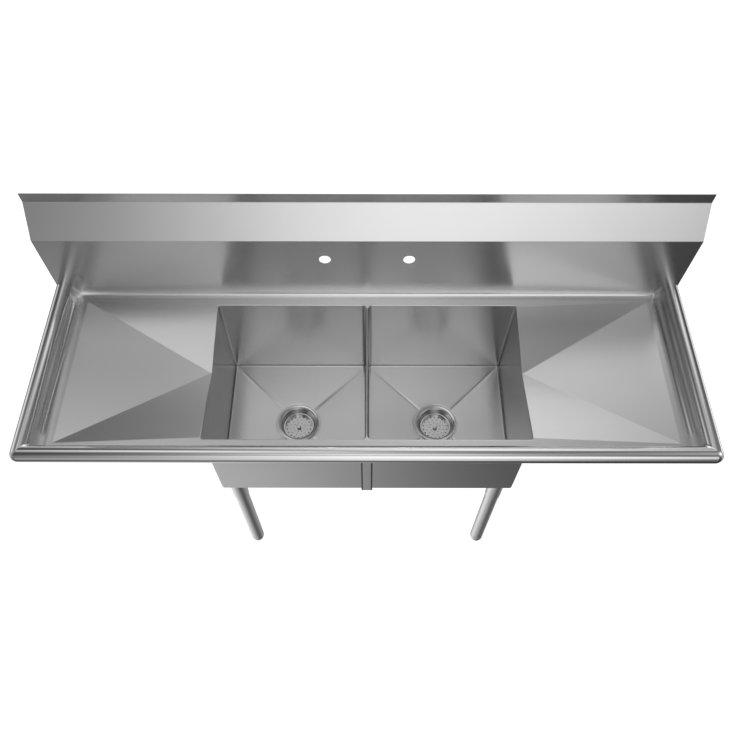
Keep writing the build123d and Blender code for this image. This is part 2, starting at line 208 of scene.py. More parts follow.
def piece(name, surfaces, finish, body, stands_for, wall=0, crease=0, solid=False, sharp=30):
    """One object from surfaces whose edges meet, instead of the nodes it stands for. wall
    gives a sheet its thickness behind the shown side, crease rounds its folds, solid turns
    a closed skin outwards, and edges of more than sharp degrees stay crisp."""
    mesh = gridded(name, surfaces)
    form = bmesh.new()
    form.from_mesh(mesh)
    bmesh.ops.remove_doubles(form, verts=form.verts, dist=0.01 * mm)
    bmesh.ops.dissolve_degenerate(form, edges=form.edges, dist=0.005 * mm)
    if solid:
        bmesh.ops.recalc_face_normals(form, faces=form.faces)
    form.to_mesh(mesh)
    form.free()
    shape = linked(name, mesh)
    if crease:
        bevel = shape.modifiers.new("folds", "BEVEL")
        bevel.width = crease
        bevel.segments = 4
        bevel.limit_method = "ANGLE"
        bevel.angle_limit = math.radians(1.5)
    if wall:
        thickness = shape.modifiers.new("sheet", "SOLIDIFY")
        thickness.thickness = wall
        thickness.offset = -1
        thickness.use_even_offset = True
    if crease or wall:
        bpy.context.view_layer.update()
        shaped = shape.evaluated_get(bpy.context.evaluated_depsgraph_get())
        shape.data = bpy.data.meshes.new_from_object(shaped)
        shape.modifiers.clear()
        bpy.data.meshes.remove(mesh)
        mesh = shape.data
        mesh.name = name
    mesh.polygons.foreach_set("use_smooth", np.ones(len(mesh.polygons), bool))
    mesh.set_sharp_from_angle(angle=math.radians(sharp))
    shading = shape.modifiers.new("flat faces lead", "WEIGHTED_NORMAL")
    shading.keep_sharp = True
    mesh.materials.clear()
    mesh.materials.append(materials[finish])
    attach(shape, body)
    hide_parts(*stands_for)
    return shape


# Finishes

def linear(code):
    """An sRGB hex colour as linear red, green, blue and alpha."""
    value = np.array([int(code[i:i + 2], 16) for i in (0, 2, 4)]) / 255
    bright = ((value + 0.055) / 1.055) ** 2.4
    return (*np.where(value > 0.04045, bright, value / 12.92), 1.0)


def add(tree, kind, inputs=(), **settings):
    """Adds a node. An input that is another node's output is linked, and any other is set."""
    node = tree.nodes.new("ShaderNode" + kind)
    for key, value in settings.items():
        setattr(node, key, value)
    for key, value in dict(inputs).items():
        if isinstance(value, bpy.types.NodeSocket):
            tree.links.new(value, node.inputs[key])
        else:
            node.inputs[key].default_value = value
    return node


def new_material(name):
    """An empty material with its output node."""
    material = bpy.data.materials.new(name)
    material.use_nodes = True
    tree = material.node_tree
    tree.nodes.clear()
    return material, tree, add(tree, "OutputMaterial")


materials = {}


def brushed(slot, name, colour, roughness, brushing, grain, waves, smear=0.0, ground=0.0,
            edge_shade_start=0.0):
    """Stainless steel with brush lines. brushing is the direction of the lines, or zero for an even
    polish, grain how strongly they show, waves how far the sheet is from flat, smear how much longer a
    reflection gets across the lines, ground how much rougher the steel is where the rear corners are
    welded and ground, and the last argument the distance from the middle plane at which a dark line
    starts: painted shade that stands for the shadowed gap along a cover strip's edges."""
    material, tree, output = new_material(name)
    place = add(tree, "TexCoord").outputs["Object"]
    # Lines 60 mm long and 1.5 mm apart: coarser than real grit lines, so that they show
    along = np.where(np.array(brushing) > 0.5, 1 / 60, 1 / 1.5) / mm
    stretched = add(tree, "Mapping", {"Vector": place, "Scale": along})
    lines = add(tree, "TexNoise", {"Vector": stretched.outputs[0], "Scale": 1.0, "Detail": 3.0,
                                   "Roughness": 0.6})
    cloud = add(tree, "TexNoise", {"Vector": place, "Scale": 1 / (220 * mm), "Detail": 2.0,
                                   "Roughness": 0.5})
    rough = add(tree, "MapRange",
                {"Value": lines.outputs["Fac"], "From Min": 0.3, "From Max": 0.7,
                 "To Min": roughness - grain, "To Max": roughness + grain}).outputs[0]
    if ground or edge_shade_start:
        either_side = add(tree, "VectorMath", {0: place}, operation="ABSOLUTE").outputs[0]
    if ground:
        away = add(tree, "VectorMath", {0: either_side, 1: rear_weld}, operation="DISTANCE")
        extra = add(tree, "MapRange",
                    {"Value": away.outputs["Value"], "From Min": 12 * mm, "From Max": 40 * mm,
                     "To Min": ground, "To Max": 0.0}, interpolation_type="SMOOTHSTEP")
        rough = add(tree, "Math", {0: rough, 1: extra.outputs[0]}, operation="ADD").outputs[0]
    dark = linear(colour)
    light = tuple(min(1.0, c * 1.06) for c in dark[:3]) + (1.0,)
    tone = add(tree, "Mix", {"Factor": cloud.outputs["Fac"], "A": dark, "B": light},
               data_type="RGBA").outputs["Result"]
    # Painted shade: a dark band of colour 4A4A4A beyond the given distance from the middle plane,
    # standing for the shade in the gap along the strip's edges.
    if edge_shade_start:
        reach = add(tree, "SeparateXYZ", {0: either_side}).outputs["X"]
        weld = add(tree, "MapRange",
                   {"Value": reach, "From Min": edge_shade_start, "From Max": edge_shade_start + 0.6 * mm},
                   interpolation_type="SMOOTHSTEP")
        tone = add(tree, "Mix", {"Factor": weld.outputs[0], "A": tone, "B": linear("4A4A4A")},
                   data_type="RGBA").outputs["Result"]
    dents = add(tree, "Bump", {"Height": cloud.outputs["Fac"], "Strength": 1.0, "Distance": waves})
    depth = 0.1 if any(brushing) else 0.0
    scratches = add(tree, "Bump", {"Height": lines.outputs["Fac"], "Strength": depth,
                                   "Distance": 0.02 * mm, "Normal": dents.outputs[0]})
    shader = add(tree, "BsdfPrincipled",
                 {"Base Color": tone, "Metallic": 1.0, "Anisotropic": smear,
                  "Roughness": rough, "Normal": scratches.outputs[0]})
    if smear:
        facing = add(tree, "NewGeometry").outputs["Normal"]
        across = add(tree, "VectorMath", {0: facing, 1: brushing}, operation="CROSS_PRODUCT")
        tree.links.new(across.outputs[0], shader.inputs["Tangent"])
    tree.links.new(shader.outputs[0], output.inputs["Surface"])
    materials[slot] = material


def plain(slot, name, colour, roughness, metallic, mottle):
    """Smooth or moulded finish whose roughness and tone vary a little over a few millimetres."""
    material, tree, output = new_material(name)
    place = add(tree, "TexCoord").outputs["Object"]
    grain = add(tree, "TexNoise", {"Vector": place, "Scale": 1 / (4 * mm), "Detail": 3.0})
    rough = add(tree, "MapRange",
                {"Value": grain.outputs["Fac"], "To Min": roughness - mottle,
                 "To Max": roughness + mottle})
    dark = linear(colour)
    light = tuple(min(1.0, c * 1.1) for c in dark[:3]) + (1.0,)
    tone = add(tree, "Mix", {"Factor": grain.outputs["Fac"], "A": dark, "B": light},
               data_type="RGBA")
    dimples = add(tree, "Bump", {"Height": grain.outputs["Fac"], "Strength": 0.2,
                                 "Distance": 0.05 * mm})
    shader = add(tree, "BsdfPrincipled",
                 {"Base Color": tone.outputs["Result"], "Metallic": metallic,
                  "Roughness": rough.outputs[0], "Normal": dimples.outputs[0]})
    tree.links.new(shader.outputs[0], output.inputs["Surface"])
    materials[slot] = material


# Cold-rolled stainless sheet with a number 4 brushed finish: soft reflections, stretched upright, and
# faint brush lines across the sink. The cover strips also get a painted dark line along their edges:
# painted shade for the gap beside them.
for slot, name, edge_shade_x in (("deck_steel", "brushed_stainless_deck", 0.0),
                           ("bowl_steel", "brushed_stainless_bowl", 0.0),
                           ("strip_steel", "brushed_stainless_strip", 9.9 * mm)):
    brushed(slot, name, "D8D8D8", 0.24, (1, 0.03, 0), 0.012, 0.3 * mm, smear=0.7, edge_shade_start=edge_shade_x)
# Rim polished after bending: no brush lines, tight bright bands along the roll
brushed("rim_steel", "polished_stainless_rim", "DCDCDC", 0.15, (0, 0, 0), 0.01, 0.1 * mm,
        ground=0.3)
# Drawn tube with a satin skin: broad soft bands along the legs
brushed("leg_steel", "satin_stainless_tube", "D6D6D6", 0.33, (0, 0, 1), 0.03, 0.1 * mm)
# Buffed strainer: the brightest steel, with small crisp reflections
plain("drain_steel", "buffed_stainless_strainer", "D6D6D6", 0.18, 1.0, 0.03)
# Cast zinc: greyer and duller than the steel round it
plain("nut_metal", "cast_zinc_nut", "A9A9AA", 0.38, 1.0, 0.06)
# Blackened screws: small dark points on the sockets
plain("screw_steel", "blackened_steel_screw", "6E6E70", 0.40, 1.0, 0.05)
# Nylon: near black with a soft sheen
plain("insert_plastic", "moulded_nylon_plug", "2C2C2E", 0.45, 0.0, 0.05)
# Pressed fibre: dry and light brown
plain("washer_fibre", "pressed_fibre_washer", "A08A66", 0.85, 0.0, 0.05)
# Plumbing gasket: pale, matt grey rubber
plain("gasket_rubber", "grey_plumbing_gasket", "BDBAB2", 0.60, 0.0, 0.05)
# Moulded rubber: black with a dull sheen
plain("black_rubber", "moulded_rubber", "1B1B1C", 0.55, 0.0, 0.05)


# Rolled rim: one skin round the front and both sides, with a rounded inner corner where
# it meets the backsplash

# The rim leaves the deck at a sharp bend and curves on up to the riser, and the
# backsplash leaves it in a full quarter turn
cove_start = math.radians(28)
cove_turn = np.linspace(cove_start, np.pi / 2, 10)
cove_bend = cove_radius / (1 - math.sin(cove_start))
splash_turn = quarter_turn(10)
riser_rise = np.linspace(cove_bend * math.cos(cove_start), roll_z - deck_z, 4)[1:]
fade_top = 4 * mm
roll_join = np.arcsin(np.linspace(0, fade_top / roll_radius, 6)[1:])
roll_rest = np.linspace(roll_join[-1], math.radians(roll_turn), 44)[1:]
rim_reach = roll_radius + cove_radius

# Each row of the rim's section: its distance from the roll's centre line towards the
# deck, and its height
rim_in = np.concatenate([
    roll_radius + cove_bend * (1 - np.sin(cove_turn)),
    np.full(len(riser_rise), roll_radius),
    roll_radius * np.cos(roll_join),
    roll_radius * np.cos(roll_rest),
])
rim_z = np.concatenate([
    deck_z + cove_bend * (math.cos(cove_start) - np.cos(cove_turn)),
    deck_z + riser_rise,
    roll_z + roll_radius * np.sin(roll_join),
    roll_z + roll_radius * np.sin(roll_rest),
])
joined_rows = len(cove_turn) + len(riser_rise) + len(roll_join)

fade_start = roll_z - 20 * mm
corner_tight = 3 * mm
riser_corner = 6.5 * mm
rear_reach = 15.5 * mm
rear_width = 14 * mm


def front_corner_radius(inward):
    """Plan radius of the front corners: r = (-d + sqrt(d^2 + 4k^2)) / 2 turns the roll about
    its centre line and brings the cove to a mitre, and a smooth hump opens the riser."""
    roll = (-inward + np.sqrt(inward**2 + 4 * corner_tight**2)) / 2
    hump = rise(inward, 4 * mm, 17 * mm) * (1 - rise(inward, 20 * mm, rim_reach))
    return roll + riser_corner * hump


def rim_skin():
    """Section rows carried along the plan path: side line, front corner, front line, front
    corner, side line, each row at its own distance from the roll's centre line."""
    inward = rim_in[:, None]
    radius = front_corner_radius(inward)
    low_part = (np.arange(len(rim_in)) < joined_rows)[:, None]
    fade = rise(rim_z[:, None], fade_start, roll_z + fade_top)
    end_y = np.where(low_part, splash_y - rear_reach * (1 - fade), splash_y)
    turn = np.radians(np.linspace(180, 270, 17))[None, :]
    corner_x = -roll_side_x + inward + radius + radius * np.cos(turn)
    corner_y = roll_front_y + inward + radius + radius * np.sin(turn)
    side_x = -roll_side_x + inward
    x = np.hstack([side_x, corner_x, -corner_x[:, ::-1], -side_x])
    y = np.hstack([end_y, corner_y, corner_y[:, ::-1], end_y])
    return surface(x, y, rim_z[:, None])[:, ::-1]


def rear_corner():
    """Rounded inner corner from the left rim to the backsplash: quarter ellipses in plan,
    point = (cx - fx cos a, cy + fy sin a), whose size fades to nothing on top of the roll."""
    rows = slice(0, joined_rows)
    height = rim_z[rows, None]
    fade = rise(height, fade_start, roll_z + fade_top)
    sine = np.concatenate([np.sin(splash_turn), np.ones(joined_rows - len(splash_turn))])[:, None]
    a = quarter_turn(13)[None, :]
    width = (2 * mm + (rear_width - 2 * mm) * sine) * (1 - fade)
    reach = (rear_reach - splash_cove + splash_cove * sine) * (1 - fade)
    start_x = -roll_side_x + rim_in[rows, None]
    start_y = splash_y - rear_reach * (1 - fade)
    x = start_x + width * (1 - np.cos(a))
    y = start_y + reach * np.sin(a)
    behind = deck_z + splash_cove * (1 - np.cos(splash_turn))
    riser_behind = np.linspace(behind[-1], roll_z, len(riser_rise) + 1)[1:]
    behind = np.concatenate([behind, riser_behind, rim_z[rows][-len(roll_join):]])[:, None]
    blend = rise(a, 0, np.pi / 2)
    return surface(x, y, height * (1 - blend) + behind * blend)


left_rear_corner = [rear_corner()]
piece("rolled_rim", [rim_skin(), *left_rear_corner, *mirrored(left_rear_corner)], "rim_steel",
      "sink", ["front_rim", "left_rim", "right_rim", "front_left_rim_corner",
               "front_right_rim_corner"], wall=sheet)


# Backsplash: cove, upright face, sloped return and wall flange, with two faucet holes

hole_square = 40 * mm
bend_reach = 1.2 * mm
upper_bends = rounded(
    [(splash_y, faucet_z + hole_square), (splash_y, bend_z), (flange_y, return_top_z),
     (flange_y, splash_high[2])], bend_reach)
square_steps = np.linspace(-hole_square, hole_square, 9)
face_z = np.concatenate([[deck_z + splash_cove], faucet_z + square_steps])
cove_line = np.column_stack([
    deck_back_y + splash_cove * np.sin(splash_turn),
    deck_z + splash_cove * (1 - np.cos(splash_turn))])
rear_corner_x = deck_side_x - 2 * mm
inner_edges = np.concatenate([
    [-rear_corner_x], -faucet_x + square_steps, faucet_x + square_steps, [rear_corner_x]])


def faucet_hole(x):
    """Square of the face with a round hole: its edge points move towards the circle."""
    step = square_steps / hole_square
    ahead = np.ones(len(step) - 1)
    square = np.concatenate([
        np.column_stack([step[:-1], -ahead]),
        np.column_stack([ahead, step[:-1]]),
        np.column_stack([-step[:-1], ahead]),
        np.column_stack([-ahead, -step[:-1]]),
        [[-1.0, -1.0]],
    ])
    middle = np.array([x, faucet_z])
    rows = towards_circle(square * hole_square + middle, middle, faucet_radius, [0, 0.5, 0.85, 1])
    return surface(rows[..., 0], splash_y, rows[..., 1])


def splash_skin():
    """Rows go up the bent section, columns along the sink; the faucet squares are left out
    of the face and filled by faucet_hole."""
    skins = [faucet_hole(-faucet_x), faucet_hole(faucet_x)]
    low_rows = np.vstack([cove_line, [[splash_y, face_z[1]]]])
    skins.append(surface(inner_edges[None, :], low_rows[:, :1], low_rows[:, 1:]))
    for near, far in ((-rear_corner_x, -faucet_x - hole_square),
                      (-faucet_x + hole_square, faucet_x - hole_square),
                      (faucet_x + hole_square, rear_corner_x)):
        skins.append(surface(np.array([[near, far]]), splash_y, face_z[1:, None]))
    skins.append(surface(inner_edges[None, :], upper_bends[:, :1], upper_bends[:, 1:]))
    # Ends behind the side rims, down to the underside of the roll
    end_line = np.vstack([[[splash_y, splash_end_z]],
                          np.column_stack([np.full(len(face_z), splash_y), face_z]),
                          upper_bends[1:]])
    for near, far in ((-splash_half, -rear_corner_x), (rear_corner_x, splash_half)):
        skins.append(surface(np.array([[near, far]]), end_line[:, :1], end_line[:, 1:]))
    return skins


piece("bent_backsplash", splash_skin(), "deck_steel", "sink", ["backsplash"], wall=sheet)


# Drainboards: flat border and three facets that fall to the middle of the bowl's edge

def board_skin():
    """Flat strips round three triangles that share the low point at the bowl."""
    edge_x = bowl_side_x + lip_radius
    share = (edge_x - bowl_side_x) / (facet_side_x - bowl_side_x)
    low = (edge_x, bowl_mid_y, deck_z - facet_fall * (1 - share))
    front = (edge_x, bowl_front_y + outer_corner, deck_z)
    back = (edge_x, bowl_back_y - outer_corner, deck_z)
    front_far = (facet_side_x, facet_front_y, deck_z)
    back_far = (facet_side_x, facet_back_y, deck_z)
    corners = [(edge_x, deck_front_y, deck_z), (deck_side_x, deck_front_y, deck_z),
               (deck_side_x, deck_back_y, deck_z), (edge_x, deck_back_y, deck_z)]
    quads = [
        [[corners[0], corners[1]], [front, front_far]],
        [[corners[1], corners[2]], [front_far, back_far]],
        [[corners[2], corners[3]], [back_far, back]],
        [[front, front_far], [low, low]],
        [[front_far, back_far], [low, low]],
        [[back_far, back], [low, low]],
    ]
    return [np.array(quad, float) for quad in quads]


for side, skins in (("right", board_skin()), ("left", mirrored(board_skin()))):
    piece(f"{side}_board_sheet", skins, "deck_steel", "sink", [f"{side}_drainboard"],
          wall=sheet, crease=1.2 * mm, sharp=3)


# Bowls: lip, walls, coved floor with four pressed creases, and the seat of the drain

corner_steps = 8
side_shares = np.concatenate([[0, 0.006, 0.014, 0.028, 0.055], np.linspace(0.09, 0.5, 10)])
side_shares = np.concatenate([side_shares, 1 - side_shares[-2::-1]])
divider_corner = 12 * mm
floor_inset = 6 * mm
crease_width = 2.6 * mm
crease_depth = 0.7 * mm


def bowl_loop(inset, outer_radius, divider_radius):
    """Closed plan of the right-hand bowl: four corner arcs, the first one at the divider's
    front end, with straight sides between them, moved inwards by inset."""
    low = np.array([divider_half, bowl_front_y]) + inset
    high = np.array([bowl_side_x, bowl_back_y]) - inset
    turn = quarter_turn(corner_steps + 1)
    arcs = []
    for corner, radius, start in (
        (low, divider_radius, 180),
        ((high[0], low[1]), outer_radius, 270),
        (high, outer_radius, 0),
        ((low[0], high[1]), divider_radius, 90),
    ):
        facing = np.array([np.cos(turn + math.radians(start)), np.sin(turn + math.radians(start))]).T
        middle = np.array(corner) - radius * np.sign(facing[corner_steps // 2])
        arcs.append(middle + radius * facing)
    loop = []
    share = side_shares[1:-1, None]
    for arc, following in zip(arcs, arcs[1:] + arcs[:1]):
        loop += [arc, arc[-1] * (1 - share) + following[0] * share]
    return np.concatenate(loop + [arcs[0][:1]])


def board_height(loop):
    """Height of the board along the bowl's outer edge: straight lines from the deck down to
    the low point, and the deck's own height everywhere else."""
    edge_y = [bowl_front_y + outer_corner, bowl_mid_y, bowl_back_y - outer_corner]
    reach = np.interp(loop[:, 1], edge_y, [0, 1, 0])
    beside_board = rise(loop[:, 0], bowl_side_x - 1 * mm, bowl_side_x)
    share = lip_radius / (facet_side_x - bowl_side_x)
    return deck_z - facet_fall * (1 - share) * reach * beside_board


def floor_height(place):
    """Sunk pyramid over the floor: the height grows with the largest of the four distances
    from the drain, each as a share of the way to its side. A narrow groove follows the
    four lines to the corners, deepest near the drain."""
    offset = place - drain
    high = np.array([bowl_side_x, bowl_back_y]) - floor_inset - drain
    low = np.array([divider_half, bowl_front_y]) + floor_inset - drain
    reach = np.max(np.concatenate([offset / high, offset / low], axis=-1), axis=-1)
    groove = 0
    for corner in ((high[0], high[1]), (high[0], low[1]), (low[0], high[1]), (low[0], low[1])):
        along = np.array(corner) / np.hypot(*corner)
        ahead = offset @ along
        beside = offset[..., 0] * along[1] - offset[..., 1] * along[0]
        strength = rise(ahead, 50 * mm, 75 * mm) * (1 - 0.7 * rise(ahead, 80 * mm, 250 * mm))
        groove = groove + strength * np.exp(-((beside / crease_width) ** 2))
    fade = rise(1 - reach, 0, 0.04)
    return floor_z - floor_fall * (1 - np.minimum(reach, 1)) - crease_depth * groove * fade


def bowl_skin():
    """Closed rows from the lip down the walls and over the floor to the drain's seat."""
    rows = []
    wall = bowl_loop(0, outer_corner, divider_corner)
    top = board_height(wall)
    for turn in quarter_turn(6):
        outset = lip_radius * (1 - math.sin(turn))
        loop = bowl_loop(-outset, outer_corner + outset, divider_corner + outset)
        rows.append(at_height(loop, top - lip_radius * (1 - math.cos(turn))))
    rows += [at_height(wall, 600 * mm), at_height(wall, 530 * mm)]
    for turn in quarter_turn(7):
        inset = floor_radius * (1 - math.cos(turn))
        outer_radius = max(wall_foot_corner - inset, 0.5 * mm)
        loop = bowl_loop(inset, outer_radius, divider_corner - inset)
        rows.append(at_height(loop, floor_z + floor_radius * (1 - math.sin(turn))))
    shares = np.linspace(0, 1, 15)[1:]
    seat_edge = seat_radius + 2 * mm
    for place in towards_circle(loop, drain, seat_edge, shares):
        rows.append(at_height(place, floor_height(place)))
    direction = (place - drain) / seat_edge
    for radius in (seat_radius + 1 * mm, seat_radius, drain_hole_radius):
        seat = direction * radius + drain
        height = seat_z + 0.4 * mm * (radius > seat_radius)
        rows.append(at_height(seat, height))
    skin = np.stack(rows)
    ledges = []
    side_points = 2 * corner_steps + len(side_shares)
    half = (len(skin[0]) - 1) // 2
    lip_reach = lip_radius + 1 * mm
    for first, ledge_y, near_y in ((0, deck_front_y, bowl_front_y - lip_reach),
                                   (half, deck_back_y, bowl_back_y + lip_reach)):
        lip = skin[0, first:first + side_points]
        flat_y = np.array([[ledge_y], [near_y]])
        ledges.append(np.concatenate([surface(lip[None, :, 0], flat_y, deck_z), lip[None]]))
    return [skin, *ledges]


for side, skins in (("right", bowl_skin()), ("left", mirrored(bowl_skin()))):
    piece(f"{side}_bowl_shell", skins, "bowl_steel", "sink", [f"{side}_bowl"], wall=sheet)


# Rounded bead on the wall between the bowls, and the strips over the gap outside

bead_radius = 2.15 * mm
bead_front_y = bowl_front_y + divider_corner
bead_back_y = bowl_back_y - divider_corner


def bead_skin():
    """Round bar with ball ends: the radius at a distance t past the last full section
    is sqrt(R^2 - t^2)."""
    end = quarter_turn(7)
    y = np.concatenate([bead_front_y - bead_radius * np.cos(end),
                        bead_back_y + bead_radius * np.sin(end)])[:, None]
    radius = np.concatenate([bead_radius * np.sin(end), bead_radius * np.cos(end)])[:, None]
    turn = np.radians(np.linspace(0, 360, 25))[None, :]
    return surface(radius * np.cos(turn), y, deck_z - divider_half + radius * np.sin(turn))


piece("divider_bead", [bead_skin()], "deck_steel", "sink", ["divider_ridge"], solid=True)


def strip_skin(place, outer, inwards):
    """Flat strip whose long edges are quarter circles; outer is the corner of its box on
    the shown side and inwards the way to the bowls."""
    box = node_box(f"{place}_cover_strip")
    edge = quarter_turn(7)
    edge_radius = 0.99 * sheet
    half = box[1][0] - edge_radius * (1 - np.sin(edge))
    depth = edge_radius * (1 - np.cos(edge))
    x = inwards * np.concatenate([-half[::-1], half])
    y = box[outer][1] + inwards * np.concatenate([depth[::-1], depth])
    return surface(x, y, np.array([[box[0][2]], [box[1][2]]]))


for place, outer, inwards in (("front", 0, 1), ("rear", 1, -1)):
    cover = piece(f"{place}_strip", [strip_skin(place, outer, inwards)], "bowl_steel", "sink",
                  [f"{place}_cover_strip"], wall=0.1 * sheet)
    cover.data.materials[0] = materials["strip_steel"]


# Drains: flanged body, basket with a knob, stopper, and the clamp below

ledge_z = 475.5 * mm
cup_bottom_z = 452 * mm
outlet_bottom_z = 420 * mm
throat_radius = 44 * mm
flange_top_z = flange_high[2]
flange_radius = (flange_high[0] - flange_low[0]) / 2
outlet_radius = 23.9 * mm
outlet_bore = 19 * mm
thread_top_z = cup_bottom_z - 9 * mm
thread_pitch = 2.2 * mm
thread_depth = 1.1 * mm
cup_bore = 38.8 * mm
cup_radius = 40.6 * mm
clamp_radius = 45.2 * mm


def threaded(radius, depth, pitch, bottom, top, x, y, steps=48):
    """Screw thread: the radius follows a triangle wave, one wave a turn and one a pitch,
    r(a, z) = R - depth |2 frac(z / pitch - a / 2 pi) - 1|, and runs out at both ends."""
    rows = int(round((top - bottom) / (pitch / 8)))
    z = np.linspace(bottom, top, rows + 1)[:, None]
    a = np.linspace(0, 2 * np.pi, steps + 1)[None, :]
    wave = np.abs(2 * np.mod(z / pitch - a / (2 * np.pi), 1) - 1)
    ends = rise(z, bottom, bottom + pitch) * (1 - rise(z, top - pitch, top))
    r = radius - depth * (wave * ends + 0.5 * (1 - ends))
    return surface(x + r * np.cos(a), y + r * np.sin(a), z)


def strainer_body(x):
    """Turned flange with a rolled edge and a dished face that gets steeper inwards, throat,
    basket ledge, cup, outlet bore, and the threaded outlet on the outside."""
    flange_under = seat_z + 1.0 * mm
    # How far each of the thirteen bends of the inside reaches along its two lines
    dish_bends = np.array([0.7, 1.0, 1.5, 1.5, 1.5, 1.2] + [0.7] * 7) * mm
    inside = rounded([
        (flange_radius - 0.6 * mm, flange_under),
        (flange_radius, flange_under + 0.9 * mm),
        (flange_radius - 1.6 * mm, flange_top_z),
        (throat_radius + 8.6 * mm, flange_top_z - 0.5 * mm),
        (throat_radius + 5.2 * mm, flange_top_z - 1.5 * mm),
        (throat_radius + 2.0 * mm, flange_top_z - 2.9 * mm),
        (throat_radius + 0.4 * mm, flange_top_z - 4.2 * mm),
        (throat_radius - 0.7 * mm, ledge_z + 8 * mm),
        (throat_radius - 1.5 * mm, ledge_z),
        (cup_bore + 0.4 * mm, ledge_z),
        (cup_bore, cup_bottom_z),
        (outlet_bore + 1 * mm, cup_bottom_z - 6 * mm),
        (outlet_bore, cup_bottom_z - 8 * mm),
        (outlet_bore, outlet_bottom_z),
        (outlet_radius - thread_depth, outlet_bottom_z),
    ], dish_bends, 3)
    thread = threaded(outlet_radius, thread_depth, thread_pitch, outlet_bottom_z + 0.5 * mm,
                      thread_top_z, x, drain_y, 96)
    outside = rounded([
        (outlet_radius - 0.5 * thread_depth, thread_top_z),
        (outlet_radius, thread_top_z + 1 * mm),
        (cup_radius, cup_bottom_z - 2 * mm),
        (cup_radius, ledge_z - 5 * mm),
        (clamp_radius, ledge_z - 2.5 * mm),
        (clamp_radius, seat_z - 0.8 * mm),
        (47.0 * mm, seat_z),
        (50.0 * mm, flange_under),
        (flange_radius - 0.6 * mm, flange_under),
    ], 1.2 * mm, 3)
    mouth = np.concatenate([thread[:1], turned(inside[-1:], x, drain_y)])
    return [turned(inside, x, drain_y), mouth, thread, turned(outside, x, drain_y)]


basket_rim_radius = 41.8 * mm
basket_radius = 37.9 * mm
basket_wall = 1.0 * mm
plate_z = 467.8 * mm
basket_rim_z = ledge_z + 1.3 * mm
knob_top_z = 477.5 * mm
stopper_top_z = 453.6 * mm
stopper_bottom_z = 448.2 * mm
stopper_radius = 24 * mm
post_radius = 3.5 * mm
post_hole_radius = 3.58 * mm
plate_steps = 72
# Rows of holes in the plate: the ring they fill, their number and their radius
hole_rows = [
    (29.0 * mm, 35.6 * mm, 18, 2.0 * mm),
    (20.0 * mm, 27.0 * mm, 12, 1.3 * mm),
    (11.0 * mm, 18.0 * mm, 9, 1.3 * mm),
]


def holed_ring(inner, outer, count, hole_radius, x):
    """Ring of sector cells, each with a round hole: a cell's edge points move on straight
    lines towards its circle."""
    sides = plate_steps // count
    half = np.pi / count
    turn = np.linspace(-half, half, sides + 1)[:-1]
    reach = np.linspace(inner, outer, 5)[:-1]
    edge_turn = np.concatenate([turn, np.full(4, half), -turn, np.full(4, -half), [-half]])
    edge_reach = np.concatenate([np.full(sides, inner), reach, np.full(sides, outer),
                                 inner + outer - reach, [inner]])
    middle = (inner + outer) / 2
    cells = []
    for centre_turn in 2 * np.pi * (np.arange(count) + 0.5) / count:
        a = centre_turn + edge_turn
        loop = np.column_stack([x + edge_reach * np.cos(a), drain_y + edge_reach * np.sin(a)])
        centre = np.array([x + middle * math.cos(centre_turn),
                           drain_y + middle * math.sin(centre_turn)])
        rows = towards_circle(loop, centre, hole_radius, [0, 0.6, 1])
        cells.append(at_height(rows, plate_z)[:, ::-1])
    return cells


def basket_skin(x):
    """Upper side of the basket: plate rings between the rows of holes, side wall and rim.
    The wall's thickness is added behind it."""
    skins = []
    for inner, outer, count, hole_radius in hole_rows:
        skins += holed_ring(inner, outer, count, hole_radius, x)
    edges = [post_hole_radius] + [edge for row in hole_rows[::-1] for edge in row[:2]]
    for inner, outer in zip(edges[::2], edges[1::2]):
        skins.append(turned([(outer, plate_z), (inner, plate_z)], x, drain_y, plate_steps))
    inside = basket_radius - basket_wall
    wall = rounded([
        (basket_rim_radius - 0.2 * mm, basket_rim_z - 0.5 * mm),
        (basket_rim_radius, basket_rim_z - 0.1 * mm),
        (basket_rim_radius - 0.4 * mm, basket_rim_z),
        (inside, basket_rim_z),
        (inside - 0.2 * mm, plate_z),
        (hole_rows[0][1], plate_z),
    ], [0.2 * mm, 0.2 * mm, 0.8 * mm, 1.6 * mm], 4)
    skins.append(turned(wall, x, drain_y, plate_steps))
    return skins


def knob_skin(x):
    """Turned knob with a waist, a domed top, and the post that carries the stopper."""
    return [turned(rounded([
        (0, stopper_top_z),
        (post_radius, stopper_top_z),
        (post_radius, plate_z + 0.9 * mm),
        (4.9 * mm, plate_z + 1.0 * mm),
        (4.1 * mm, plate_z + 4 * mm),
        (6.0 * mm, plate_z + 6.8 * mm),
        (5.9 * mm, knob_top_z - 0.3 * mm),
        (3.5 * mm, knob_top_z),
        (0, knob_top_z - 0.1 * mm),
    ], [0.1 * mm, 0.2 * mm, 0.5 * mm, 1.2 * mm, 0.8 * mm, 0.8 * mm, 1.0 * mm], 4), x, drain_y, 48)]


def stopper_skin(x):
    """Turned rubber disc with a lip along its lower edge."""
    return [turned(rounded([
        (0, stopper_bottom_z),
        (stopper_radius - 4 * mm, stopper_bottom_z),
        (stopper_radius - 2.5 * mm, stopper_bottom_z + 0.4 * mm),
        (stopper_radius, stopper_bottom_z + 2.2 * mm),
        (stopper_radius, stopper_top_z - 1.6 * mm),
        (stopper_radius - 1 * mm, stopper_top_z),
        (0, stopper_top_z),
    ], 0.8 * mm, 4), x, drain_y, 72)]


def washer_skin(x, node):
    """Flat ring with rounded edges, as large as its node."""
    low, high = node_box(node)
    outer = (high[0] - low[0]) / 2
    inner = clamp_radius + 0.3 * mm
    edge = 0.3 * (high[2] - low[2])
    start = ((inner + outer) / 2, low[2])
    loop = [start, (outer, low[2]), (outer, high[2]), (inner, high[2]), (inner, low[2]), start]
    return [turned(rounded(loop, edge, 3), x, drain_y)]


